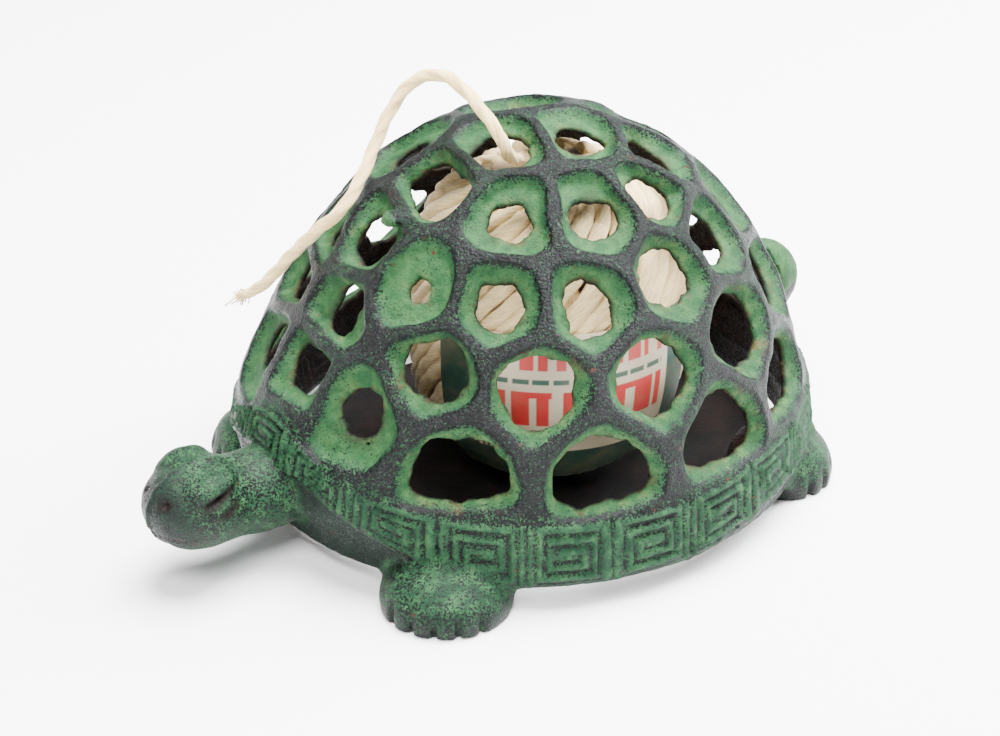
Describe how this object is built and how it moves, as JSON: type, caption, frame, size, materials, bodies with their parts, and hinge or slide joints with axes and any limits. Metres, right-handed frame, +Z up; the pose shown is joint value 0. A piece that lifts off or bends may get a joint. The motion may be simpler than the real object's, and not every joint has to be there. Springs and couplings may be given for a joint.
{
  "type": "turtle twine holder",
  "caption": "Openwork domed cast-iron turtle that stands over a ball of cotton twine and lets the twine out through a hole in its shell; also usable as a flower frog.",
  "frame": {"origin": "on the table, under the middle of the casting's bounding box", "axes": "+Z up, head towards -Y, tail towards +Y, the turtle's left side at +X"},
  "size_m": [0.1422, 0.2002, 0.1109],
  "materials": {
    "verdigris_paint": "green paint rubbed over black, worn to grey on the ridges, small rust spots; bare rusty iron inside",
    "bare_iron": "unpainted dark rusty cast iron",
    "cotton": "soft undyed cotton twine, wound",
    "label_paper": "printed paper label, cream with red bars and a dark green border",
    "cotton_end": "soft undyed cotton twine, twisted"
  },
  "bodies": {
    "ball": {"base_plate": "bare_iron", "twine_ball": "cotton", "ball_label": "label_paper"},
    "turtle": {"turtle_casting": "verdigris_paint", "twine_free_end": "cotton_end"}
  },
  "joints": [
    {"name": "turtle_lift", "type": "slide", "parent": "ball", "child": "turtle", "axis": [0, 0, 1], "range_m": [0, 0.1]}
  ]
}
